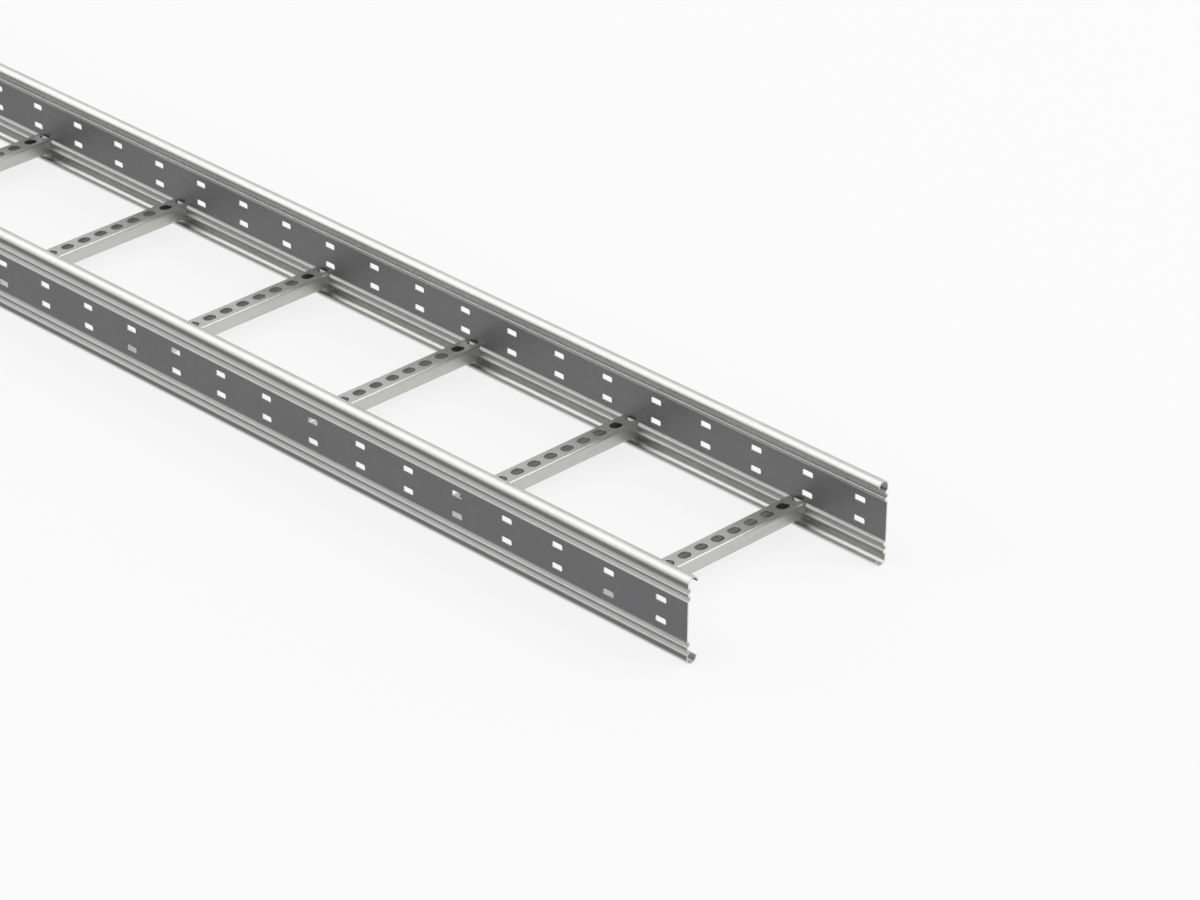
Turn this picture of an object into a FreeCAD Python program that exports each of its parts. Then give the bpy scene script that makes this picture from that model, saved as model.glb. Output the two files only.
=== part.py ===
import FreeCAD, Part
import math
import os
import Sketcher

os.makedirs("parts", exist_ok=True)

# A straight length of cable ladder: two roll formed side rails joined by perforated rungs.
# X runs along the ladder, Y across it and Z up. The origin is at the middle of its footprint.
# All sizes are in millimetres.

doc = FreeCAD.newDocument("cable_ladder_section")

SIZES = [
    ("ladder_length", 3000.0, "length of both side rails"),
    ("ladder_width", 300.0, "width over the outer faces of the side rails"),
    ("rail_height", 102.0, "height of a side rail"),
    ("sheet_thickness", 1.5, "steel sheet of the rails"),
    ("curl_radius", 7.5, "outer radius of the curled edge of a rail"),
    ("rib_width", 8.0, "width of a pressed rib at the face of the rail"),
    ("rib_depth", 3.0, "how far a rib stands into the ladder"),
    ("rib_crest_radius", 1.75, "radius of the hollow of a rib, on the outer skin"),
    ("rib_spacing", 9.0, "centre distance of the two ribs of a pair"),
    ("rib_margin", 15.2, "from the edge of the rail to the centre of the outer rib"),
    ("slot_length", 15.0, "length of a slot in the rail"),
    ("slot_height", 7.0, "height of a slot in the rail"),
    ("slot_corner", 2.0, "radius of the rounded corners of a slot in the rail"),
    ("slot_pitch", 75.0, "centre distance of the slots along the rail"),
    ("slot_row_spacing", 25.0, "centre distance of the two rows of slots"),
    ("rung_pitch", 250.0, "centre distance of the rungs"),
    ("rung_width", 25.0, "width of a rung along the ladder"),
    ("rung_depth", 17.5, "height of the section of a rung"),
    ("rung_top", 28.5, "level of the upper face of the rungs"),
    ("rung_thickness", 1.5, "steel sheet of the rungs"),
    ("rung_corner", 2.0, "outer bend radius of a rung"),
    ("rung_lip", 6.0, "width of the return lip under a rung"),
    ("rung_clearance", 0.2, "gap between the coped end of a rung and the rail"),
    ("hole_length", 16.0, "length of a hole in the rung, across the ladder"),
    ("hole_width", 12.0, "width of a hole in the rung, along the ladder"),
    ("hole_pitch", 25.0, "centre distance of the holes in a rung"),
]

sheet = doc.addObject("Spreadsheet::Sheet", "sizes")
for row, (alias, value, meaning) in enumerate(SIZES, start=1):
    sheet.set(f"A{row}", meaning)
    sheet.set(f"B{row}", str(value))
    sheet.setAlias(f"B{row}", alias)
doc.recompute()

mm = {alias: float(sheet.get(alias)) for alias, value, meaning in SIZES}

# Turns the plane of a sketch to the cross section of a rail: sketch x is Y and sketch y is Z.
ACROSS = FreeCAD.Rotation(FreeCAD.Vector(1, 1, 1), 120)
# Turns the plane of a sketch to the cross section of a rung: sketch x is X and sketch y is Z.
ALONG = FreeCAD.Rotation(FreeCAD.Vector(1, 0, 0), 90)

QUARTER = math.pi / 2

# The points of an edge in a sketch, by the numbers that constraints use for them.
START, END, CENTRE = range(1, 4)
SKETCH_ORIGIN = (-1, START)


def dimension(sketch, name, kind, where, formula):
    """Add a named dimension to the sketch and tie it to the sheet."""
    value = float(sketch.evalExpression(formula))
    index = sketch.addConstraint(Sketcher.Constraint(kind, *where, value))
    sketch.renameConstraint(index, name)
    sketch.setExpression(f"Constraints.{name}", formula)


def join(sketch, first, first_end, second, second_end):
    """Join two edges end to end without a kink."""
    sketch.addConstraint(Sketcher.Constraint("Tangent", first, first_end, second, second_end))


def add_line(sketch, x1, y1, x2, y2):
    return sketch.addGeometry(
        Part.LineSegment(FreeCAD.Vector(x1, y1, 0), FreeCAD.Vector(x2, y2, 0)))


def add_arc(sketch, x, y, radius, start, end):
    circle = Part.Circle(FreeCAD.Vector(x, y, 0), FreeCAD.Vector(0, 0, 1), radius)
    return sketch.addGeometry(Part.ArcOfCircle(circle, start, end))


# The rib is an S bend in, a crest and an S bend out. Its bends turn by the same angle, and the
# radii of a bend and of the crest add up to what its width and its depth ask for.
rib_half = mm["rib_width"] / 2
rib_turn = 2 * math.atan(mm["rib_depth"] / rib_half)
rib_radii = (rib_half ** 2 + mm["rib_depth"] ** 2) / (2 * mm["rib_depth"])
rib_bend = rib_radii - mm["rib_crest_radius"]

RIB_LEVELS = [
    ("rib_a", "sizes.rail_height - sizes.rib_margin"),
    ("rib_b", "sizes.rail_height - sizes.rib_margin - sizes.rib_spacing"),
    ("rib_c", "sizes.rib_margin + sizes.rib_spacing"),
    ("rib_d", "sizes.rib_margin"),
]


def wall_with_ribs(sketch, face, inset, ribs, top, bottom):
    """Draw a skin of the wall of a rail from top to bottom and return its first and last line.

    face is the place of the outer face in the sketch, inset how far this skin lies inside it,
    and ribs are the names and levels of the ribs on the way. All are formulas.
    """
    x_face = float(sketch.evalExpression(face))
    depth = float(sketch.evalExpression(inset))
    x_skin = x_face + depth
    levels = [float(sketch.evalExpression(level)) for name, level in ribs]
    starts = [top] + [level - rib_half for level in levels]
    ends = [level + rib_half for level in levels] + [bottom]
    lines = [add_line(sketch, x_skin, y1, x_skin, y2) for y1, y2 in zip(starts, ends)]
    for line in lines:
        sketch.addConstraint(Sketcher.Constraint("Vertical", line))
    dimension(sketch, "skin", "DistanceX", (*SKETCH_ORIGIN, lines[0], START), f"{face} + {inset}")

    for index, (name, level) in enumerate(ribs):
        above, below = lines[index], lines[index + 1]
        y = levels[index]
        x_bend = x_face + rib_bend
        x_crest = x_face + mm["rib_depth"] - mm["rib_crest_radius"]
        bend = rib_bend - depth
        upper = add_arc(sketch, x_bend, y + rib_half, bend, math.pi, math.pi + rib_turn)
        crest = add_arc(sketch, x_crest, y, mm["rib_crest_radius"] + depth, -rib_turn, rib_turn)
        lower = add_arc(sketch, x_bend, y - rib_half, bend, math.pi - rib_turn, math.pi)
        join(sketch, above, END, upper, START)
        join(sketch, upper, END, crest, END)
        join(sketch, crest, START, lower, START)
        join(sketch, lower, END, below, START)
        sketch.addConstraint(Sketcher.Constraint("Vertical", above, START, below, START))
        sketch.addConstraint(Sketcher.Constraint("Equal", upper, lower))
        dimension(sketch, f"{name}_crest", "Radius", (crest,), f"sizes.rib_crest_radius + {inset}")
        dimension(sketch, f"{name}_place", "DistanceX", (*SKETCH_ORIGIN, crest, CENTRE),
                  f"{face} + sizes.rib_depth - sizes.rib_crest_radius")
        dimension(sketch, f"{name}_level", "DistanceY", (*SKETCH_ORIGIN, crest, CENTRE), level)
        dimension(sketch, f"{name}_half_width", "DistanceY", (crest, CENTRE, above, END),
                  "sizes.rib_width / 2")
    return lines[0], lines[-1]


def outline_of_rail(name):
    """Outer skin of the rail: curled top edge, ribbed wall and curled bottom edge."""
    sketch = doc.addObject("Sketcher::SketchObject", name)
    sketch.Placement = FreeCAD.Placement(FreeCAD.Vector(), ACROSS)
    radius = mm["curl_radius"]
    height = mm["rail_height"]
    first, last = wall_with_ribs(sketch, "0", "0", RIB_LEVELS, height - radius, radius)
    top = add_arc(sketch, radius, height - radius, radius, 0, math.pi)
    bottom = add_arc(sketch, radius, radius, radius, math.pi, 2 * math.pi)
    join(sketch, top, END, first, START)
    join(sketch, last, END, bottom, START)
    sketch.addConstraint(Sketcher.Constraint("Horizontal", top, START, top, CENTRE))
    sketch.addConstraint(Sketcher.Constraint("Horizontal", bottom, END, bottom, CENTRE))
    sketch.addConstraint(Sketcher.Constraint("Equal", top, bottom))
    dimension(sketch, "curl", "Radius", (top,), "sizes.curl_radius")
    dimension(sketch, "top_curl_level", "DistanceY", (*SKETCH_ORIGIN, top, CENTRE),
              "sizes.rail_height - sizes.curl_radius")
    dimension(sketch, "bottom_curl_level", "DistanceY", (*SKETCH_ORIGIN, bottom, CENTRE),
              "sizes.curl_radius")
    return sketch


def outline_of_rung(name):
    """Outer skin of the rung: a channel that opens downwards, with a return lip on each side."""
    sketch = doc.addObject("Sketcher::SketchObject", name)
    sketch.Placement = FreeCAD.Placement(FreeCAD.Vector(), ALONG)
    side = mm["rung_width"] / 2
    top = mm["rung_top"]
    bottom = top - mm["rung_depth"]
    lip = side - mm["rung_lip"]
    bend = mm["rung_corner"]
    left_lip = add_line(sketch, -lip, bottom, -side + bend, bottom)
    left_side = add_line(sketch, -side, bottom + bend, -side, top - bend)
    table = add_line(sketch, -side + bend, top, side - bend, top)
    right_side = add_line(sketch, side, top - bend, side, bottom + bend)
    right_lip = add_line(sketch, side - bend, bottom, lip, bottom)
    runs = [left_lip, left_side, table, right_side, right_lip]
    corners = [
        add_arc(sketch, -side + bend, bottom + bend, bend, 2 * QUARTER, 3 * QUARTER),
        add_arc(sketch, -side + bend, top - bend, bend, QUARTER, 2 * QUARTER),
        add_arc(sketch, side - bend, top - bend, bend, 0, QUARTER),
        add_arc(sketch, side - bend, bottom + bend, bend, 3 * QUARTER, 4 * QUARTER),
    ]
    for before, corner, after in zip(runs, corners, runs[1:]):
        join(sketch, before, END, corner, END)
        join(sketch, corner, START, after, START)
    for line in (left_lip, table, right_lip):
        sketch.addConstraint(Sketcher.Constraint("Horizontal", line))
    for line in (left_side, right_side):
        sketch.addConstraint(Sketcher.Constraint("Vertical", line))
    for corner in corners[1:]:
        sketch.addConstraint(Sketcher.Constraint("Equal", corners[0], corner))
    sketch.addConstraint(Sketcher.Constraint("Horizontal", left_lip, START, right_lip, START))
    dimension(sketch, "corner", "Radius", (corners[0],), "sizes.rung_corner")
    dimension(sketch, "width", "DistanceX", (left_side, START, right_side, START),
              "sizes.rung_width")
    dimension(sketch, "half_width", "DistanceX", (*SKETCH_ORIGIN, right_side, START),
              "sizes.rung_width / 2")
    dimension(sketch, "top", "DistanceY", (*SKETCH_ORIGIN, table, START), "sizes.rung_top")
    dimension(sketch, "depth", "DistanceY", (left_lip, START, table, START), "sizes.rung_depth")
    dimension(sketch, "left_lip", "DistanceX", (left_side, START, left_lip, START),
              "sizes.rung_lip")
    dimension(sketch, "right_lip", "DistanceX", (right_lip, END, right_side, START),
              "sizes.rung_lip")
    return sketch


def folded_sheet(name, outline, thickness, direction, length):
    """Give the outline the thickness of the sheet and draw it out to its length."""
    section = doc.addObject("Part::Offset2D", f"{name}_section")
    section.Source = outline
    section.Mode = "Skin"
    section.Fill = True
    section.Value = -1
    section.setExpression("Value", f"-{thickness}")
    sheet_length = doc.addObject("Part::Extrusion", f"{name}_sheet")
    sheet_length.Base = section
    sheet_length.DirMode = "Custom"
    sheet_length.Dir = direction
    sheet_length.Symmetric = True
    sheet_length.Solid = True
    sheet_length.setExpression("LengthFwd", length)
    return sheet_length


def origin_feature(body, role):
    return next(part for part in body.Origin.OriginFeatures if part.Role == role)


def sketch_on(body, name, role):
    sketch = body.newObject("Sketcher::SketchObject", name)
    sketch.AttachmentSupport = [(origin_feature(body, role), "")]
    sketch.MapMode = "FlatFace"
    return sketch


def add_rail_slot(sketch, name, left, low):
    """Draw a slot with rounded corners. left and low are the formulas of its lower left corner."""
    x1, y1 = float(sketch.evalExpression(left)), float(sketch.evalExpression(low))
    x2, y2 = x1 + mm["slot_length"], y1 + mm["slot_height"]
    bend = mm["slot_corner"]
    lower = add_line(sketch, x1 + bend, y1, x2 - bend, y1)
    right = add_line(sketch, x2, y1 + bend, x2, y2 - bend)
    upper = add_line(sketch, x2 - bend, y2, x1 + bend, y2)
    left_edge = add_line(sketch, x1, y2 - bend, x1, y1 + bend)
    edges = [lower, right, upper, left_edge]
    corners = [
        add_arc(sketch, x2 - bend, y1 + bend, bend, -QUARTER, 0),
        add_arc(sketch, x2 - bend, y2 - bend, bend, 0, QUARTER),
        add_arc(sketch, x1 + bend, y2 - bend, bend, QUARTER, 2 * QUARTER),
        add_arc(sketch, x1 + bend, y1 + bend, bend, 2 * QUARTER, 3 * QUARTER),
    ]
    for before, corner, after in zip(edges, corners, edges[1:] + edges[:1]):
        join(sketch, before, END, corner, START)
        join(sketch, corner, END, after, START)
    for edge in (lower, upper):
        sketch.addConstraint(Sketcher.Constraint("Horizontal", edge))
    for edge in (right, left_edge):
        sketch.addConstraint(Sketcher.Constraint("Vertical", edge))
    for corner in corners[1:]:
        sketch.addConstraint(Sketcher.Constraint("Equal", corners[0], corner))
    dimension(sketch, f"{name}_corner", "Radius", (corners[0],), "sizes.slot_corner")
    dimension(sketch, f"{name}_length", "DistanceX", (left_edge, START, right, START),
              "sizes.slot_length")
    dimension(sketch, f"{name}_height", "DistanceY", (lower, START, upper, START),
              "sizes.slot_height")
    dimension(sketch, f"{name}_left", "DistanceX", (*SKETCH_ORIGIN, left_edge, START), left)
    dimension(sketch, f"{name}_low", "DistanceY", (*SKETCH_ORIGIN, lower, START), low)


def add_rung_hole(sketch, low_end):
    """Draw a hole with round ends on the Y axis. low_end is the formula of its lower centre."""
    half = mm["hole_width"] / 2
    y1 = float(sketch.evalExpression(low_end))
    y2 = y1 + mm["hole_length"] - mm["hole_width"]
    near = add_arc(sketch, 0, y1, half, 2 * QUARTER, 4 * QUARTER)
    far = add_arc(sketch, 0, y2, half, 0, 2 * QUARTER)
    right = add_line(sketch, half, y1, half, y2)
    left = add_line(sketch, -half, y2, -half, y1)
    join(sketch, near, END, right, START)
    join(sketch, right, END, far, START)
    join(sketch, far, END, left, START)
    join(sketch, left, END, near, START)
    sketch.addConstraint(Sketcher.Constraint("Equal", near, far))
    sketch.addConstraint(Sketcher.Constraint("Vertical", right))
    dimension(sketch, "run", "DistanceY", (near, CENTRE, far, CENTRE),
              "sizes.hole_length - sizes.hole_width")
    dimension(sketch, "end", "Radius", (near,), "sizes.hole_width / 2")
    dimension(sketch, "middle", "DistanceX", (*SKETCH_ORIGIN, near, CENTRE), "0")
    dimension(sketch, "low_end", "DistanceY", (*SKETCH_ORIGIN, near, CENTRE), low_end)


def cut_pattern(body, name, sketch, depth, role, count, pitch):
    """Cut the sketch into the body and repeat the cut along an axis of the body."""
    pocket = body.newObject("PartDesign::Pocket", f"{name}_cut")
    pocket.Profile = sketch
    pocket.setExpression("Length", depth)
    before = body.Shape.Volume
    doc.recompute()
    if pocket.Shape.Volume >= before:
        raise RuntimeError(f"{name}: the first cut takes nothing away")
    pattern = body.newObject("PartDesign::LinearPattern", f"{name}_row")
    pattern.Originals = [pocket]
    pattern.Direction = (origin_feature(body, role), [""])
    pattern.Mode = "Spacing"
    pattern.setExpression("Occurrences", count)
    pattern.setExpression("Offset", pitch)
    body.Tip = pattern
    doc.recompute()
    return pattern


SLOT_COUNT = "floor(sizes.ladder_length / sizes.slot_pitch)"


def make_rail(name, turn, side):
    """One side rail, with its outer face on the XZ plane and its curls towards +Y."""
    sheet_form = folded_sheet(name, outline_of_rail(f"{name}_outline"), "sizes.sheet_thickness",
                              FreeCAD.Vector(1, 0, 0), "sizes.ladder_length")
    doc.recompute()
    body = doc.addObject("PartDesign::Body", name)
    body.Label = name
    body.BaseFeature = sheet_form
    doc.recompute()
    slots = sketch_on(body, f"{name}_slots", "XZ_Plane")
    left = f"-({SLOT_COUNT} - 1) / 2 * sizes.slot_pitch - sizes.slot_length / 2"
    for row_name, sign in (("lower", "-"), ("upper", "+")):
        middle = f"sizes.rail_height / 2 {sign} sizes.slot_row_spacing / 2"
        add_rail_slot(slots, row_name, left, f"{middle} - sizes.slot_height / 2")
    cut_pattern(body, f"{name}_slot", slots, "2 * sizes.sheet_thickness", "X_Axis",
                SLOT_COUNT, "sizes.slot_pitch")
    body.Placement = FreeCAD.Placement(
        FreeCAD.Vector(0, side * mm["ladder_width"] / 2, 0),
        FreeCAD.Rotation(FreeCAD.Vector(0, 0, 1), turn))
    body.setExpression("Placement.Base.y", f"{side} * sizes.ladder_width / 2")
    return body


HOLE_STEPS = "floor(sizes.ladder_width / 2 / sizes.hole_pitch)"


def make_rung(name, place):
    """One rung across the ladder, coped to the ribbed wall of each rail."""
    sheet_form = folded_sheet(name, outline_of_rung(f"{name}_outline"), "sizes.rung_thickness",
                              FreeCAD.Vector(0, 1, 0), "sizes.ladder_width")
    doc.recompute()
    body = doc.addObject("PartDesign::Body", name)
    body.Label = name
    body.BaseFeature = sheet_form
    doc.recompute()
    holes = sketch_on(body, f"{name}_holes", "XY_Plane")
    holes.setExpression("AttachmentOffset.Base.z", "sizes.rung_top")
    first_hole = f"-{HOLE_STEPS} * sizes.hole_pitch"
    low_end = f"{first_hole} - (sizes.hole_length - sizes.hole_width) / 2"
    add_rung_hole(holes, low_end)
    cut_pattern(body, f"{name}_hole", holes, "2 * sizes.rung_thickness", "Y_Axis",
                f"2 * {HOLE_STEPS} + 1", "sizes.hole_pitch")

    cope = sketch_on(body, f"{name}_cope_outline", "YZ_Plane")
    over = mm["rung_top"] + mm["rib_width"]
    under = mm["rung_top"] - mm["rung_depth"] - mm["rung_thickness"]
    face = "-sizes.ladder_width / 2"
    x_wall = -mm["ladder_width"] / 2 + mm["sheet_thickness"] + mm["rung_clearance"]
    x_back = -mm["ladder_width"] / 2 - mm["curl_radius"]
    first, last = wall_with_ribs(cope, face, "sizes.sheet_thickness + sizes.rung_clearance",
                                 RIB_LEVELS[2:], over, under)
    top = add_line(cope, x_back, over, x_wall, over)
    back = add_line(cope, x_back, under, x_back, over)
    floor = add_line(cope, x_wall, under, x_back, under)
    loop = [last, floor, back, top, first]
    for before, after in zip(loop, loop[1:]):
        cope.addConstraint(Sketcher.Constraint("Coincident", before, END, after, START))
    cope.addConstraint(Sketcher.Constraint("Horizontal", top))
    cope.addConstraint(Sketcher.Constraint("Horizontal", floor))
    cope.addConstraint(Sketcher.Constraint("Vertical", back))
    dimension(cope, "back", "DistanceX", (*SKETCH_ORIGIN, back, START),
              "-sizes.ladder_width / 2 - sizes.curl_radius")
    dimension(cope, "over", "DistanceY", (*SKETCH_ORIGIN, top, START),
              "sizes.rung_top + sizes.rib_width")
    dimension(cope, "under", "DistanceY", (*SKETCH_ORIGIN, floor, START),
              "sizes.rung_top - sizes.rung_depth - sizes.rung_thickness")
    coped = body.newObject("PartDesign::Pocket", f"{name}_cope")
    coped.Profile = cope
    coped.Midplane = True
    coped.setExpression("Length", "2 * sizes.rung_width")
    doc.recompute()
    both = body.newObject("PartDesign::Mirrored", f"{name}_copes")
    both.Originals = [coped]
    both.MirrorPlane = (origin_feature(body, "XZ_Plane"), [""])
    body.Tip = both
    body.Placement = FreeCAD.Placement(FreeCAD.Vector(0, 0, 0), FreeCAD.Rotation())
    body.setExpression("Placement.Base.x", place)
    doc.recompute()
    return body


rails = [make_rail("side_rail_left", 180, 1), make_rail("side_rail_right", 0, -1)]

rung_count = math.floor(mm["ladder_length"] / mm["rung_pitch"])
rungs = [
    make_rung(f"rung_{number + 1:02d}", f"({number} - {(rung_count - 1) / 2}) * sizes.rung_pitch")
    for number in range(rung_count)
]

doc.recompute()
for thing in doc.Objects:
    if "Invalid" in thing.State or "Error" in thing.State:
        raise RuntimeError(f"{thing.Name} failed: {thing.State}")

pieces = rails + rungs
for piece in pieces:
    if piece.Shape.isNull() or not piece.Shape.isValid() or len(piece.Shape.Solids) != 1:
        raise RuntimeError(f"{piece.Label} is not one valid solid")

for piece in pieces:
    piece.Shape.exportStep(f"parts/{piece.Label}.step")
    box = piece.Shape.BoundBox
    print(piece.Label, round(piece.Shape.Volume), round(box.XLength, 2), round(box.YLength, 2),
          round(box.ZLength, 2))
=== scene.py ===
# %% [markdown]
# # A straight length of cable ladder
# Two roll formed side rails stand on edge and a row of perforated rungs joins them. The pieces
# were laid out beforehand, so the script starts by loading them as a fixed frame. Every new
# surface is then modelled where its piece already stands, in metres.

# %% Load the frame
import math

import bmesh
import bpy
from mathutils import Matrix, Vector


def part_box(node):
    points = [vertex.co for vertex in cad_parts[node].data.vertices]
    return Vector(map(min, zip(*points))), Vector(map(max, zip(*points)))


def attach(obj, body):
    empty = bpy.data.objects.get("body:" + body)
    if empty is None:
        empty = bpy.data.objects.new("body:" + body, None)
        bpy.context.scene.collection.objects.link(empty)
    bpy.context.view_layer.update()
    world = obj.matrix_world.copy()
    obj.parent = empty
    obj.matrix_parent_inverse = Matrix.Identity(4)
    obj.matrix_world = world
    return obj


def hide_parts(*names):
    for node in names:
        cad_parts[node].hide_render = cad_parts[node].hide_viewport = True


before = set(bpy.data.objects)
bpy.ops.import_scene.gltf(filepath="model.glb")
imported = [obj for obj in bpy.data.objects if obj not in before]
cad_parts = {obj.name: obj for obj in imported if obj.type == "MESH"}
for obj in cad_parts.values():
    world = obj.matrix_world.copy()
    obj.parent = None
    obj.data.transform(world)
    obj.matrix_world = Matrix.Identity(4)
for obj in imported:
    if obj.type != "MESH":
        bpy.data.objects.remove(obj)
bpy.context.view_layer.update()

scene = bpy.context.scene
MM = 0.001
print("nodes:", sorted(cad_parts))

# %% [markdown]
# ## Sizes
# The frame says how long, wide and high the ladder is. What it doesn't say are the sizes of the
# sheet metal work: the curl along each edge, the pressed ribs, the slots and the holes. They are
# written once here, and everything below is worked out from them.

# %% Sizes from the frame
RIGHT_RAIL, LEFT_RAIL = "side_rail_right", "side_rail_left"
RUNGS = sorted(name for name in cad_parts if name.startswith("rung_"))
rail_low, rail_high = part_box(RIGHT_RAIL)
LENGTH = rail_high[0] - rail_low[0]
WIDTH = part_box(LEFT_RAIL)[1][1] - rail_low[1]
HEIGHT = rail_high[2] + rail_low[2]  # the rail stands on 0, but its faceted curls fall short
print(f"ladder {LENGTH:.3f} x {WIDTH:.3f} x {HEIGHT:.3f} m with {len(RUNGS)} rungs")

# %% Sizes of the sheet metal work
SHEET = 1.5 * MM
CURL_RADIUS = 7.5 * MM
RIB_WIDTH = 8 * MM
RIB_DEPTH = 3 * MM
RIB_CREST = 1.75 * MM
RIB_SPACING = 9 * MM
RIB_MARGIN = 15.2 * MM
SLOT_LENGTH = 15 * MM
SLOT_HEIGHT = 7 * MM
SLOT_CORNER = 2 * MM
SLOT_PITCH = 75 * MM
SLOT_ROWS = 25 * MM
RUNG_WIDTH = 25 * MM
RUNG_TOP = 28.5 * MM
RUNG_DEPTH = 17.5 * MM
RUNG_CORNER = 2 * MM
RUNG_LIP = 6 * MM
HOLE_LENGTH = 16 * MM
HOLE_WIDTH = 12 * MM
HOLE_PITCH = 25 * MM
CLEARANCE = 0.2 * MM
EDGE_SOFTENING = 0.15 * MM
SAME_POINT = 0.001 * MM
print(f"slots {SLOT_LENGTH / MM:.0f} x {SLOT_HEIGHT / MM:.0f} mm, rung {RUNG_WIDTH / MM:.0f} mm wide")

# %% [markdown]
# ## Drawing a folded section
# A folded sheet is easiest to think of as one line, the outer skin of its cross section, that a
# pen draws as straight runs and bends. Extruding a vertex draws a straight run, and spinning a
# vertex about the centre of a bend draws a true arc, so no list of points is needed.

# %% A pen for cross sections
X_AXIS = Vector((1, 0, 0))
Y_AXIS = Vector((0, 1, 0))
Z_AXIS = Vector((0, 0, 1))


def draw_run(bm, tip, place, steps=1):
    """Draw a straight run from the tip of the section to a place and return the new tip."""
    start = tip.co.copy()
    for step in range(1, steps + 1):
        tip = bmesh.ops.extrude_vert_indiv(bm, verts=[tip])["verts"][0]
        tip.co = start.lerp(place, step / steps)
    return tip


def draw_bend(bm, tip, centre, axis, turn, steps):
    """Swing the tip of the section about the centre of a bend and return the new tip."""
    spun = bmesh.ops.spin(bm, geom=[tip], cent=centre, axis=axis, dvec=(0, 0, 0), angle=turn,
                          steps=steps, use_merge=False, use_duplicate=False)
    return next(item for item in spun["geom_last"] if isinstance(item, bmesh.types.BMVert))


# %% [markdown]
# ## Cutting a punched panel
# The flat band of a rail is punched with slots and the top of a rung with holes. A boolean would
# do this, but it has to cut hundreds of times. It is quicker to make one short tile of the
# sheet with its own punched panel, and to repeat the tile. The outline of a slot is a rectangle
# whose corners are bevelled, and a fill between the panel's rim and the outlines leaves them open.

# %% A punched panel in one tile
def punch_outline(bm, matrix, length, height, corner, steps):
    """Draw the outline of a punched slot with rounded corners and return its edges."""
    size = Matrix.Diagonal((length, height, 1, 1))
    grid = bmesh.ops.create_grid(bm, x_segments=1, y_segments=1, size=0.5, matrix=matrix @ size)
    bevel = bmesh.ops.bevel(bm, geom=grid["verts"], offset=corner, offset_type="OFFSET",
                            segments=steps, affect="VERTICES", profile=0.5, material=-1,
                            clamp_overlap=False)
    panel = bevel["verts"][0].link_faces[0]
    points = list(panel.verts)
    bmesh.ops.delete(bm, geom=[panel], context="FACES_ONLY")
    bmesh.ops.remove_doubles(bm, verts=points, dist=SAME_POINT)
    return list({edge for point in points if point.is_valid for edge in point.link_edges})


def punch_panel(bm, panel, outlines):
    """Take one flat face out of the tile and fill it again around the punched outlines."""
    rim = list(panel.edges)
    bmesh.ops.delete(bm, geom=[panel], context="FACES_ONLY")
    edges = rim + [edge for outline in outlines for edge in outline]
    bmesh.ops.triangle_fill(bm, use_beauty=True, use_dissolve=False, edges=edges)


def stretch_tile(bm, step):
    """Draw the section out to one tile and return the widest flat face."""
    drawn = bmesh.ops.extrude_edge_only(bm, edges=bm.edges[:])
    moved = [item for item in drawn["geom"] if isinstance(item, bmesh.types.BMVert)]
    bmesh.ops.translate(bm, verts=moved, vec=step)
    return max(bm.faces, key=lambda face: face.calc_area())


def repeat_tile(bm, step, count):
    """Repeat the tile in a row and merge the seams."""
    tile = bm.verts[:] + bm.edges[:] + bm.faces[:]
    for number in range(1, count):
        copied = bmesh.ops.duplicate(bm, geom=tile)["geom"]
        points = [item for item in copied if isinstance(item, bmesh.types.BMVert)]
        bmesh.ops.translate(bm, verts=points, vec=step * number)
    bmesh.ops.remove_doubles(bm, verts=bm.verts, dist=SAME_POINT)


# %% [markdown]
# ## From a skin to a sheet
# The skin gets the thickness of the steel towards the inside of the fold. Solidify works against
# the normals, so they are made consistent first and turned outwards. The sharp edges that the
# punch and the shear leave are then softened a little, because a real zinc coated edge is never
# razor sharp and its small bevel catches the light.

# %% Thickness and soft edges
CUT_ANGLE = math.radians(60)
SOFT_STEPS = 2


def turn_outwards(bm, outside):
    """Make the normals agree, and let the outermost face look to the outside."""
    bmesh.ops.recalc_face_normals(bm, faces=bm.faces)
    outermost = max(bm.faces, key=lambda face: face.calc_center_median().dot(outside))
    if outermost.normal.dot(outside) < 0:
        bmesh.ops.reverse_faces(bm, faces=bm.faces)


def thicken(bm, outside):
    """Give the skin the thickness of the sheet."""
    turn_outwards(bm, outside)
    bmesh.ops.solidify(bm, geom=bm.faces[:], thickness=SHEET)


def soften_edges(bm):
    """Bevel the cut edges of the sheet."""
    sharp = [edge for edge in bm.edges if edge.calc_face_angle(0) > CUT_ANGLE]
    bmesh.ops.bevel(bm, geom=sharp, offset=EDGE_SOFTENING, offset_type="OFFSET",
                    segments=SOFT_STEPS, affect="EDGES", profile=0.5, material=-1,
                    clamp_overlap=False)


# %% [markdown]
# ## The side rail
# A rail is rolled from one strip of steel. Both edges are curled over inwards, so that no sharp
# edge cuts a cable, and two pairs of ribs stiffen the wall above and below the slotted band. A
# rib is an S bend in, a crest and an S bend out. Its bends follow from its width, its depth and
# the radius of its crest, because the three arcs have to meet without a kink.

# %% Section of the rail
RIB_HALF = RIB_WIDTH / 2
RIB_TURN = 2 * math.atan(RIB_DEPTH / RIB_HALF)
RIB_BEND = (RIB_HALF ** 2 + RIB_DEPTH ** 2) / (2 * RIB_DEPTH) - RIB_CREST
RIB_LEVELS = [HEIGHT - RIB_MARGIN, HEIGHT - RIB_MARGIN - RIB_SPACING, RIB_MARGIN + RIB_SPACING,
              RIB_MARGIN]
CURL_STEPS = 18
BEND_STEPS = 5
SLOT_CORNER_STEPS = 4
RAIL_START = -LENGTH / 2
RAIL_FACE = -WIDTH / 2
print(f"a rib turns {math.degrees(RIB_TURN):.1f} degrees in and out again, "
      f"with bends of {RIB_BEND / MM:.2f} and {RIB_CREST / MM:.2f} mm")


def at_section(inwards, level):
    """A place in the cross section at the start of the right rail."""
    return Vector((RAIL_START, RAIL_FACE + inwards, level))


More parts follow.
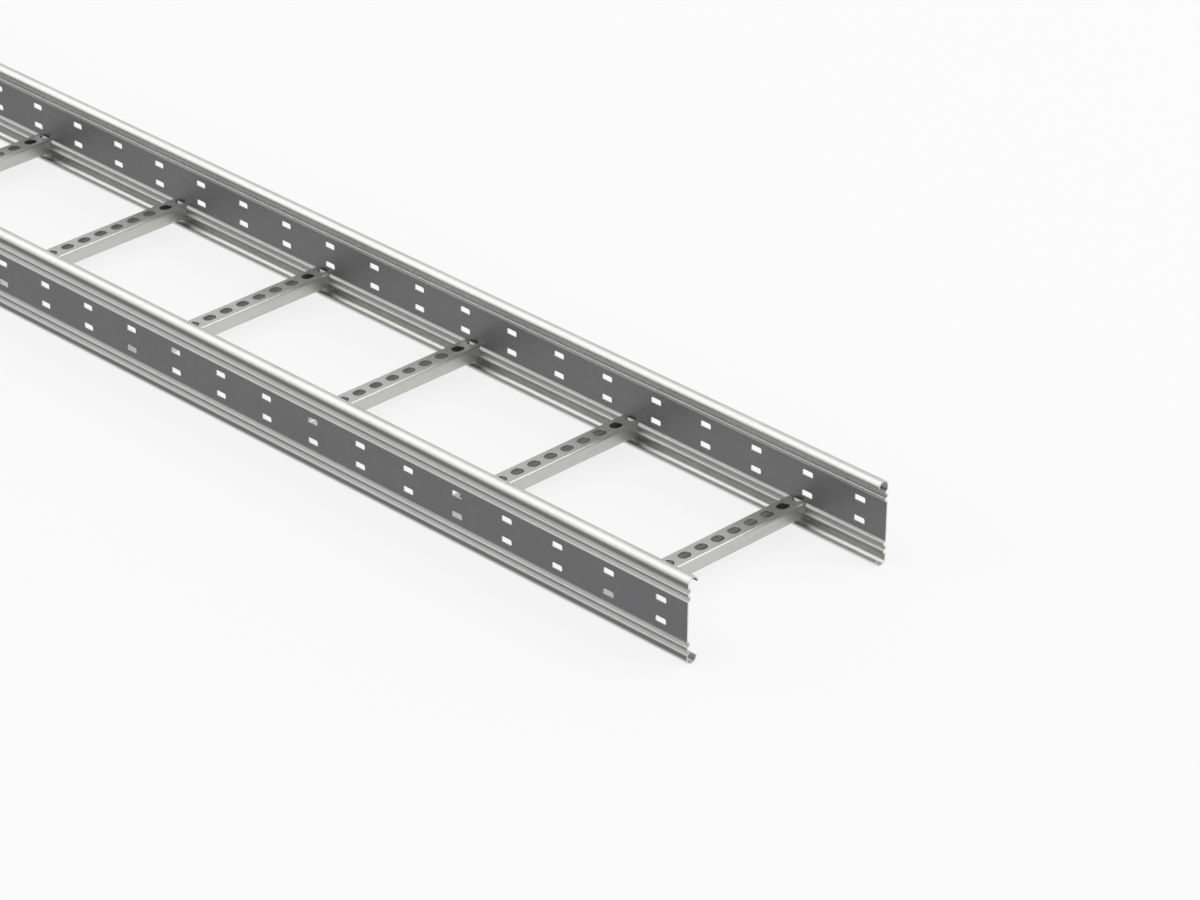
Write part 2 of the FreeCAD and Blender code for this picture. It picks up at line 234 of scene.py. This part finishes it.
def draw_rib(bm, tip, level):
    """Draw one rib of the wall, from its upper edge to its lower edge."""
    tip = draw_bend(bm, tip, at_section(RIB_BEND, level + RIB_HALF), X_AXIS, RIB_TURN, BEND_STEPS)
    crest = at_section(RIB_DEPTH - RIB_CREST, level)
    tip = draw_bend(bm, tip, crest, X_AXIS, -2 * RIB_TURN, 2 * BEND_STEPS)
    return draw_bend(bm, tip, at_section(RIB_BEND, level - RIB_HALF), X_AXIS, RIB_TURN, BEND_STEPS)


def draw_rail_section(bm):
    """Draw the outer skin of the rail from the upper lip to the lower lip."""
    tip = bm.verts.new(at_section(2 * CURL_RADIUS, HEIGHT - CURL_RADIUS))
    upper_curl = at_section(CURL_RADIUS, HEIGHT - CURL_RADIUS)
    tip = draw_bend(bm, tip, upper_curl, X_AXIS, math.pi, CURL_STEPS)
    for level in RIB_LEVELS:
        tip = draw_run(bm, tip, at_section(0, level + RIB_HALF))
        tip = draw_rib(bm, tip, level)
    tip = draw_run(bm, tip, at_section(0, CURL_RADIUS))
    draw_bend(bm, tip, at_section(CURL_RADIUS, CURL_RADIUS), X_AXIS, math.pi, CURL_STEPS)


# %% Mesh of the rail
def rail_mesh():
    """One rail at its place on the right side, from one tile for each pair of slots."""
    bm = bmesh.new()
    draw_rail_section(bm)
    step = X_AXIS * SLOT_PITCH
    band = stretch_tile(bm, step)
    upright = Matrix.Rotation(math.pi / 2, 4, "X")
    outlines = []
    for side in (-1, 1):
        middle = at_section(0, HEIGHT / 2 + side * SLOT_ROWS / 2) + step / 2
        outlines.append(punch_outline(bm, Matrix.Translation(middle) @ upright, SLOT_LENGTH,
                                      SLOT_HEIGHT, SLOT_CORNER, SLOT_CORNER_STEPS))
    punch_panel(bm, band, outlines)
    repeat_tile(bm, step, round(LENGTH / SLOT_PITCH))
    thicken(bm, -Y_AXIS)
    soften_edges(bm)
    return bm


rail_bm = rail_mesh()
print("rail:", len(rail_bm.verts), "vertices,", len(rail_bm.faces), "faces")

# %% [markdown]
# ## The rung
# A rung is a channel that opens downwards, with a small return lip on each side, and its top is
# punched with a row of long holes. Each end is coped: it is cut to the ribbed wall of the rail,
# so that it seats against it. Here the tiles run past both rails, a plane cuts them off, and the
# softened ends are pushed back onto the wall, level by level. The bevel comes before the push,
# because it needs the plain square corner of the flat cut.

# %% Section of the rung
RUNG_SIDE = RUNG_WIDTH / 2
RUNG_LOW = RUNG_TOP - RUNG_DEPTH
CORNER_STEPS = 5
SIDE_STEPS = 9
HOLE_END_STEPS = 8
HOLES = 2 * math.floor(WIDTH / 2 / HOLE_PITCH) + 1
RUNG_START = -HOLES / 2 * HOLE_PITCH
print("holes along a rung, with the two that its ends cut:", HOLES)


def in_rung(across, level):
    """A place in the cross section at the start of a rung."""
    return Vector((across, RUNG_START, level))


def draw_rung_section(bm):
    """Draw the outer skin of the rung from one lip over the top to the other lip."""
    flat = RUNG_SIDE - RUNG_CORNER
    quarter = math.pi / 2
    tip = bm.verts.new(in_rung(RUNG_LIP - RUNG_SIDE, RUNG_LOW))
    corners = [(-flat, RUNG_LOW + RUNG_CORNER), (-flat, RUNG_TOP - RUNG_CORNER),
               (flat, RUNG_TOP - RUNG_CORNER), (flat, RUNG_LOW + RUNG_CORNER)]
    runs = [((-flat, RUNG_LOW), 1), ((-RUNG_SIDE, RUNG_TOP - RUNG_CORNER), SIDE_STEPS),
            ((flat, RUNG_TOP), 1), ((RUNG_SIDE, RUNG_LOW + RUNG_CORNER), SIDE_STEPS)]
    for (place, steps), corner in zip(runs, corners):
        tip = draw_run(bm, tip, in_rung(*place), steps)
        tip = draw_bend(bm, tip, in_rung(*corner), Y_AXIS, quarter, CORNER_STEPS)
    draw_run(bm, tip, in_rung(RUNG_SIDE - RUNG_LIP, RUNG_LOW))


# %% Coped ends
RUNG_END = WIDTH / 2 - SHEET - CLEARANCE


def wall_depth(level):
    """How far the inside of the rail's wall stands in from its outer face at a level."""
    nearest = min(abs(level - rib) for rib in RIB_LEVELS)
    crest = RIB_CREST + SHEET
    bend = RIB_BEND - SHEET
    if nearest < crest * math.sin(RIB_TURN):
        return RIB_DEPTH - RIB_CREST + math.sqrt(crest ** 2 - nearest ** 2)
    if nearest < RIB_HALF:
        return RIB_BEND - math.sqrt(bend ** 2 - (RIB_HALF - nearest) ** 2)
    return SHEET


def cut_ends(bm):
    """Cut off what runs past the inside of the rails."""
    for side in (-1, 1):
        everything = bm.verts[:] + bm.edges[:] + bm.faces[:]
        bmesh.ops.bisect_plane(bm, geom=everything, plane_co=Y_AXIS * side * RUNG_END,
                               plane_no=Y_AXIS * side, clear_outer=True, clear_inner=False)


def cope_ends(bm):
    """Push the softened ends back onto the ribs of the rails."""
    for point in bm.verts:
        if abs(point.co.y) > RUNG_END - EDGE_SOFTENING - SAME_POINT:
            push = wall_depth(point.co.z) - SHEET
            point.co.y -= math.copysign(push, point.co.y)


print(f"a rib pushes the end back by up to {(wall_depth(RIB_MARGIN) - SHEET) / MM:.1f} mm")


# %% Mesh of the rung
def rung_mesh():
    """One rung in the middle of the ladder, from one tile for each hole."""
    bm = bmesh.new()
    draw_rung_section(bm)
    step = Y_AXIS * HOLE_PITCH
    table = stretch_tile(bm, step)
    middle = in_rung(0, RUNG_TOP) + step / 2
    hole = punch_outline(bm, Matrix.Translation(middle), HOLE_WIDTH, HOLE_LENGTH,
                         HOLE_WIDTH / 2, HOLE_END_STEPS)
    punch_panel(bm, table, [hole])
    repeat_tile(bm, step, HOLES)
    cut_ends(bm)
    thicken(bm, Z_AXIS)
    soften_edges(bm)
    cope_ends(bm)
    return bm


rung_bm = rung_mesh()
print("rung:", len(rung_bm.verts), "vertices,", len(rung_bm.faces), "faces")

# %% [markdown]
# ## Painted light and shade
# The flat band of a rail and its other upright faces are painted dark. This is painted shade: it
# stands in for the dark surroundings that upright steel would mirror. Faces that turn up or down,
# on the curls and the ribs, get the bright tone. The trough inside the lower curl and the inner
# skin carry a painted reflection, lighter than the band, the cut edges are lighter too, and the
# inside of a rung is painted dark, as painted shade in its hollow. All that is stored at the
# vertices, as a share from 0 to 1, because the material can then follow the shape whatever its size.

# %% Store the painted light share
# The share paints light and shade: a low share is painted shade, a high share the bright tone.
PAINTED_LIGHT = "painted_light"
RIB_SHARE = 0.66
INNER_BAND_SHARE = 0.04
PUNCHED_SHARE = 0.45
INNER_RIB_SHARE = 0.34
TROUGH_SHARE = 0.9
TURN_STARTS, TURN_ENDS = 0.02, 0.4
PUNCH_STARTS, PUNCH_ENDS = 0.3, 0.7
BAND_HALF = HEIGHT / 2 - RIB_MARGIN - RIB_SPACING - RIB_HALF


def smooth_share(value, low, high):
    """Ease from 0 at the low value to 1 at the high value."""
    share = min(max((value - low) / (high - low), 0), 1)
    return share * share * (3 - 2 * share)


def store_share(bm, share_of):
    """Write the painted light share of every vertex to the mesh."""
    layer = bm.verts.layers.float.new(PAINTED_LIGHT)
    bm.normal_update()
    for point in bm.verts:
        point[layer] = share_of(point)


def rail_share(point):
    """Full on sheared ends and outside the curls, less on ribs, inner skin and the flat band, whose
    low share is painted shade.
    """
    if abs(point.co.x) > LENGTH / 2 - SAME_POINT:
        return 1.0
    from_middle = point.co.z - HEIGHT / 2
    set_in = point.co.y > RAIL_FACE + SHEET / 2
    if abs(from_middle) < BAND_HALF + SAME_POINT:
        punched = smooth_share(1 - abs(point.normal.y), PUNCH_STARTS, PUNCH_ENDS)
        return max(punched * PUNCHED_SHARE, INNER_BAND_SHARE if set_in else 0.0)
    turned = smooth_share(abs(point.normal.z), TURN_STARTS, TURN_ENDS)
    curl = Vector((RAIL_FACE + CURL_RADIUS, HEIGHT / 2 - CURL_RADIUS))
    radius = (Vector((point.co.y, abs(from_middle))) - curl).length
    if abs(from_middle) > curl.y and radius > CURL_RADIUS - SHEET / 2:
        return turned
    if not set_in:
        return turned * RIB_SHARE
    # The inner skin and the trough carry a painted reflection, lighter than the flat band.
    in_trough = smooth_share(RIB_MARGIN - point.co.z, 0, RIB_HALF)
    inner = INNER_RIB_SHARE + (TROUGH_SHARE - INNER_RIB_SHARE) * in_trough
    return max(turned * RIB_SHARE, inner)


def rung_share(point):
    """Full on the outside of the channel, none inside it, where the dark tone is painted shade."""
    # The inside of the channel gets share 0, which is painted shade in the hollow.
    inside = (abs(point.co.x) < RUNG_SIDE - SHEET / 2
              and RUNG_LOW + SHEET / 2 < point.co.z < RUNG_TOP - SHEET / 2)
    return 0.0 if inside else 1.0


store_share(rail_bm, rail_share)
store_share(rung_bm, rung_share)
print("rubbed share stored at", len(rail_bm.verts) + len(rung_bm.verts), "vertices")

# %% [markdown]
# ## Zinc coated steel
# The steel is galvanised: a metal surface with a fine grain along the rolling direction, faint
# zinc crystals and slow cloudy changes of tone. One function makes the steel of both kinds of
# piece, and only the tones and the direction of the grain differ.

# %% Helpers for shader nodes
SHARE_SPAN = (0, 1)


def add_node(tree, kind, **inputs):
    """Add a node and set the sockets that are named."""
    node = tree.nodes.new(kind)
    for socket, value in inputs.items():
        node.inputs[socket.replace("_", " ")].default_value = value
    return node


def map_range(tree, source, span, result):
    """Stretch one span of values to another."""
    node = add_node(tree, "ShaderNodeMapRange", From_Min=span[0], From_Max=span[1],
                    To_Min=result[0], To_Max=result[1])
    tree.links.new(source, node.inputs["Value"])
    return node.outputs["Result"]


def multiply(tree, first, second):
    """Multiply two values."""
    node = tree.nodes.new("ShaderNodeMath")
    node.operation = "MULTIPLY"
    tree.links.new(first, node.inputs[0])
    tree.links.new(second, node.inputs[1])
    return node.outputs[0]


# %% A galvanised material
NOISE_SPAN = (0.3, 0.7)
GRAIN_ALONG, GRAIN_ACROSS = 4, 900
GRAIN_TONE = (0.94, 1.04)
GRAIN_STRENGTH = 0.12
GRAIN_HEIGHT = 0.2 * MM
CLOUD_SCALE = 14.0
CLOUD_TONE = (0.94, 1.05)
CLOUD_FINISH = (0.9, 1.12)
CRYSTAL_SCALE = 160.0
CRYSTAL_TONE = (0.97, 1.03)


def zinc_material(name, painted_shade_tone, bright, shaded_roughness, bright_roughness, grain_scale):
    """Galvanised steel, brighter and smoother where the painted light share is high; its low share is
    painted shade.
    """
    material = bpy.data.materials.new(name)
    material.use_nodes = True
    tree = material.node_tree
    shader = tree.nodes["Principled BSDF"]
    shader.inputs["Metallic"].default_value = 1.0
    place = tree.nodes.new("ShaderNodeTexCoord").outputs["Object"]
    painted_light = tree.nodes.new("ShaderNodeAttribute")
    painted_light.attribute_name = PAINTED_LIGHT

    stretch = add_node(tree, "ShaderNodeMapping", Scale=grain_scale)
    tree.links.new(place, stretch.inputs["Vector"])
    grain = add_node(tree, "ShaderNodeTexNoise", Scale=1.0, Detail=3.0, Roughness=0.6)
    tree.links.new(stretch.outputs["Vector"], grain.inputs["Vector"])
    clouds = add_node(tree, "ShaderNodeTexNoise", Scale=CLOUD_SCALE, Detail=4.0, Roughness=0.55)
    tree.links.new(place, clouds.inputs["Vector"])
    crystals = add_node(tree, "ShaderNodeTexVoronoi", Scale=CRYSTAL_SCALE)
    tree.links.new(place, crystals.inputs["Vector"])

    tone = multiply(tree, map_range(tree, grain.outputs["Fac"], NOISE_SPAN, GRAIN_TONE),
                    map_range(tree, clouds.outputs["Fac"], NOISE_SPAN, CLOUD_TONE))
    crystal_tone = map_range(tree, crystals.outputs["Color"], SHARE_SPAN, CRYSTAL_TONE)
    tone = multiply(tree, tone, crystal_tone)
    # The share blends the first tone, which is painted shade, with the bright tone of the steel.
    colour = tree.nodes.new("ShaderNodeMix")
    colour.data_type = "RGBA"
    colour.inputs["A"].default_value = (*painted_shade_tone, 1)
    colour.inputs["B"].default_value = (*bright, 1)
    tree.links.new(painted_light.outputs["Fac"], colour.inputs["Factor"])
    toned = tree.nodes.new("ShaderNodeMix")
    toned.data_type = "RGBA"
    toned.blend_type = "MULTIPLY"
    toned.inputs["Factor"].default_value = 1.0
    tree.links.new(colour.outputs["Result"], toned.inputs["A"])
    tree.links.new(tone, toned.inputs["B"])
    tree.links.new(toned.outputs["Result"], shader.inputs["Base Color"])

    finish = map_range(tree, painted_light.outputs["Fac"], SHARE_SPAN, (shaded_roughness, bright_roughness))
    cloud_finish = map_range(tree, clouds.outputs["Fac"], NOISE_SPAN, CLOUD_FINISH)
    tree.links.new(multiply(tree, finish, cloud_finish), shader.inputs["Roughness"])
    bump = add_node(tree, "ShaderNodeBump", Strength=GRAIN_STRENGTH, Distance=GRAIN_HEIGHT)
    tree.links.new(grain.outputs["Fac"], bump.inputs["Height"])
    tree.links.new(bump.outputs["Normal"], shader.inputs["Normal"])
    return material


# The first tones are painted shade: on the rails for the dark surroundings that upright steel would
# mirror, on the rungs for shade inside the channel.
rail_steel = zinc_material("rail_steel", painted_shade_tone=(0.163, 0.164, 0.168), bright=(0.69, 0.69, 0.665),
                           shaded_roughness=0.42, bright_roughness=0.40,
                           grain_scale=(GRAIN_ALONG, GRAIN_ACROSS, GRAIN_ACROSS))
rung_steel = zinc_material("rung_steel", painted_shade_tone=(0.28, 0.28, 0.275), bright=(0.63, 0.63, 0.605),
                           shaded_roughness=0.42, bright_roughness=0.42,
                           grain_scale=(GRAIN_ACROSS, GRAIN_ALONG, GRAIN_ACROSS))
print("materials:", rail_steel.name, rung_steel.name)

# %% [markdown]
# ## Place the pieces
# Every piece takes its place in its mesh: its object stays at the origin, unturned, as the frame
# asks. The left rail is the right one turned half round, and each rung is the same mesh moved to
# the middle of its own node. Smooth shading stops at cut edges, and weighted normals keep the
# flat band flat right up to its bends.

# %% Make the objects
SHARP_ANGLE = math.radians(40)


def add_piece(name, bm, transform, material, node):
    """Make an object of a copy of the mesh, moved to the place of its node."""
    placed = bm.copy()
    bmesh.ops.transform(placed, matrix=transform, verts=placed.verts)
    mesh = bpy.data.meshes.new(name)
    placed.to_mesh(mesh)
    placed.free()
    mesh.materials.append(material)
    mesh.shade_smooth()
    mesh.set_sharp_from_angle(angle=SHARP_ANGLE)
    piece = bpy.data.objects.new(name, mesh)
    scene.collection.objects.link(piece)
    weighted = piece.modifiers.new("weighted", "WEIGHTED_NORMAL")
    weighted.keep_sharp = True
    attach(piece, "root")
    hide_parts(node)


# %% Put rails and rungs in place
half_turn = Matrix.Rotation(math.pi, 4, "Z")
for node, place in ((RIGHT_RAIL, Matrix.Identity(4)), (LEFT_RAIL, half_turn)):
    add_piece(f"{node}_sheet", rail_bm, place, rail_steel, node)
for node in RUNGS:
    low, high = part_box(node)
    place = Matrix.Translation(X_AXIS * (low[0] + high[0]) / 2)
    add_piece(f"{node}_sheet", rung_bm, place, rung_steel, node)
rail_bm.free()
rung_bm.free()
print("pieces: 2 rails and", len(RUNGS), "rungs")

# %% [markdown]
# ## Floor and light
# The ladder lies on a plain pale floor. The camera and the mirroring steel see most of it as a
# white glow, which keeps it pale and the shadow on it faint. Every other ray sees plain paint.

# %% Floor
FLOOR_HALF = 20.0
floor_bm = bmesh.new()
bmesh.ops.create_grid(floor_bm, x_segments=1, y_segments=1, size=FLOOR_HALF)
floor_mesh = bpy.data.meshes.new("floor")
floor_bm.to_mesh(floor_mesh)
floor_bm.free()
floor = bpy.data.objects.new("floor", floor_mesh)
scene.collection.objects.link(floor)
print("floor:", 2 * FLOOR_HALF, "m wide")

# %% Paint of the floor
FLOOR_TONE = 0.74
FLOOR_ROUGHNESS = 0.9
FLOOR_GLOW = 0.8
floor_paint = bpy.data.materials.new("floor_paint")
floor_paint.use_nodes = True
floor_tree = floor_paint.node_tree
paint = floor_tree.nodes["Principled BSDF"]
paint.inputs["Base Color"].default_value = (FLOOR_TONE, FLOOR_TONE, FLOOR_TONE, 1)
paint.inputs["Roughness"].default_value = FLOOR_ROUGHNESS
paint.inputs["Specular IOR Level"].default_value = 0.0
glow = floor_tree.nodes.new("ShaderNodeEmission")
glow.inputs["Strength"].default_value = 1.0
path = floor_tree.nodes.new("ShaderNodeLightPath")
seen = path.outputs["Is Camera Ray"]
for ray in ("Is Glossy Ray", "Is Transmission Ray"):
    either = floor_tree.nodes.new("ShaderNodeMath")
    either.operation = "MAXIMUM"
    floor_tree.links.new(seen, either.inputs[0])
    floor_tree.links.new(path.outputs[ray], either.inputs[1])
    seen = either.outputs[0]
share = map_range(floor_tree, seen, SHARE_SPAN, (0, FLOOR_GLOW))
blend = floor_tree.nodes.new("ShaderNodeMixShader")
floor_tree.links.new(share, blend.inputs["Fac"])
floor_tree.links.new(paint.outputs["BSDF"], blend.inputs[1])
floor_tree.links.new(glow.outputs["Emission"], blend.inputs[2])
floor_tree.links.new(blend.outputs["Shader"], floor_tree.nodes["Material Output"].inputs["Surface"])
floor_mesh.materials.append(floor_paint)
print("material:", floor_paint.name)

# %% [markdown]
# ## Sky and panels
# The sky is an even soft white. One very large soft panel hangs far off to the left, with a
# smaller one behind the other side. They are wide, so their shadows are faint, and the curls
# and ribs pick them up as long bright lines.

# %% Sky
SKY_STRENGTH = 0.76
world = bpy.data.worlds.new("studio")
scene.world = world
world.use_nodes = True
sky = world.node_tree.nodes["Background"]
sky.inputs["Color"].default_value = (1, 1, 1, 1)
sky.inputs["Strength"].default_value = SKY_STRENGTH
print("sky strength:", SKY_STRENGTH)

# %% Panels
AIM = Vector((0.6, 0, 0))
PANEL_DISTANCE = 12


def soft_panel(name, towards, size, radiance):
    """Hang a large panel in a direction from the ladder. Its radiance is what a mirror shows."""
    light = bpy.data.lights.new(name, "AREA")
    light.shape = "RECTANGLE"
    light.size, light.size_y = size
    light.energy = radiance * math.pi * size[0] * size[1]
    panel = bpy.data.objects.new(name, light)
    scene.collection.objects.link(panel)
    panel.location = AIM + Vector(towards).normalized() * PANEL_DISTANCE
    panel.rotation_euler = (AIM - panel.location).to_track_quat("-Z", "Y").to_euler()
    print(name, "of", size, "m gives", round(light.energy), "W")


soft_panel("key_panel", towards=(-0.62, -0.35, 0.68), size=(15, 13), radiance=0.85)
soft_panel("fill_panel", towards=(0.48, 0.62, 0.62), size=(9, 9), radiance=1.9)

# %% [markdown]
# ## Camera
# The camera stands to the right of the near end and looks down along the ladder, with a long
# lens and a very small tilt of the horizon, as in the photograph.

# %% Camera
CAMERA_PLACE = Vector((4.58384, -3.39182, 2.70377))
CAMERA_TARGET = Vector((1.1186, 0.1073, 0.0018))
CAMERA_TILT = math.radians(0.599)
SENSOR_WIDTH = 36
LENS = 154.34
camera_data = bpy.data.cameras.new("camera")
camera_data.sensor_width = SENSOR_WIDTH
camera_data.lens = LENS
camera = bpy.data.objects.new("camera", camera_data)
scene.collection.objects.link(camera)
aim = (CAMERA_TARGET - CAMERA_PLACE).to_track_quat("-Z", "Y").to_matrix().to_4x4()
tilt = Matrix.Rotation(CAMERA_TILT, 4, "Z")
camera.matrix_world = Matrix.Translation(CAMERA_PLACE) @ aim @ tilt
scene.camera = camera
scene.view_settings.view_transform = "Standard"
print("camera at", tuple(round(value, 3) for value in CAMERA_PLACE), "with a lens of", LENS, "mm")
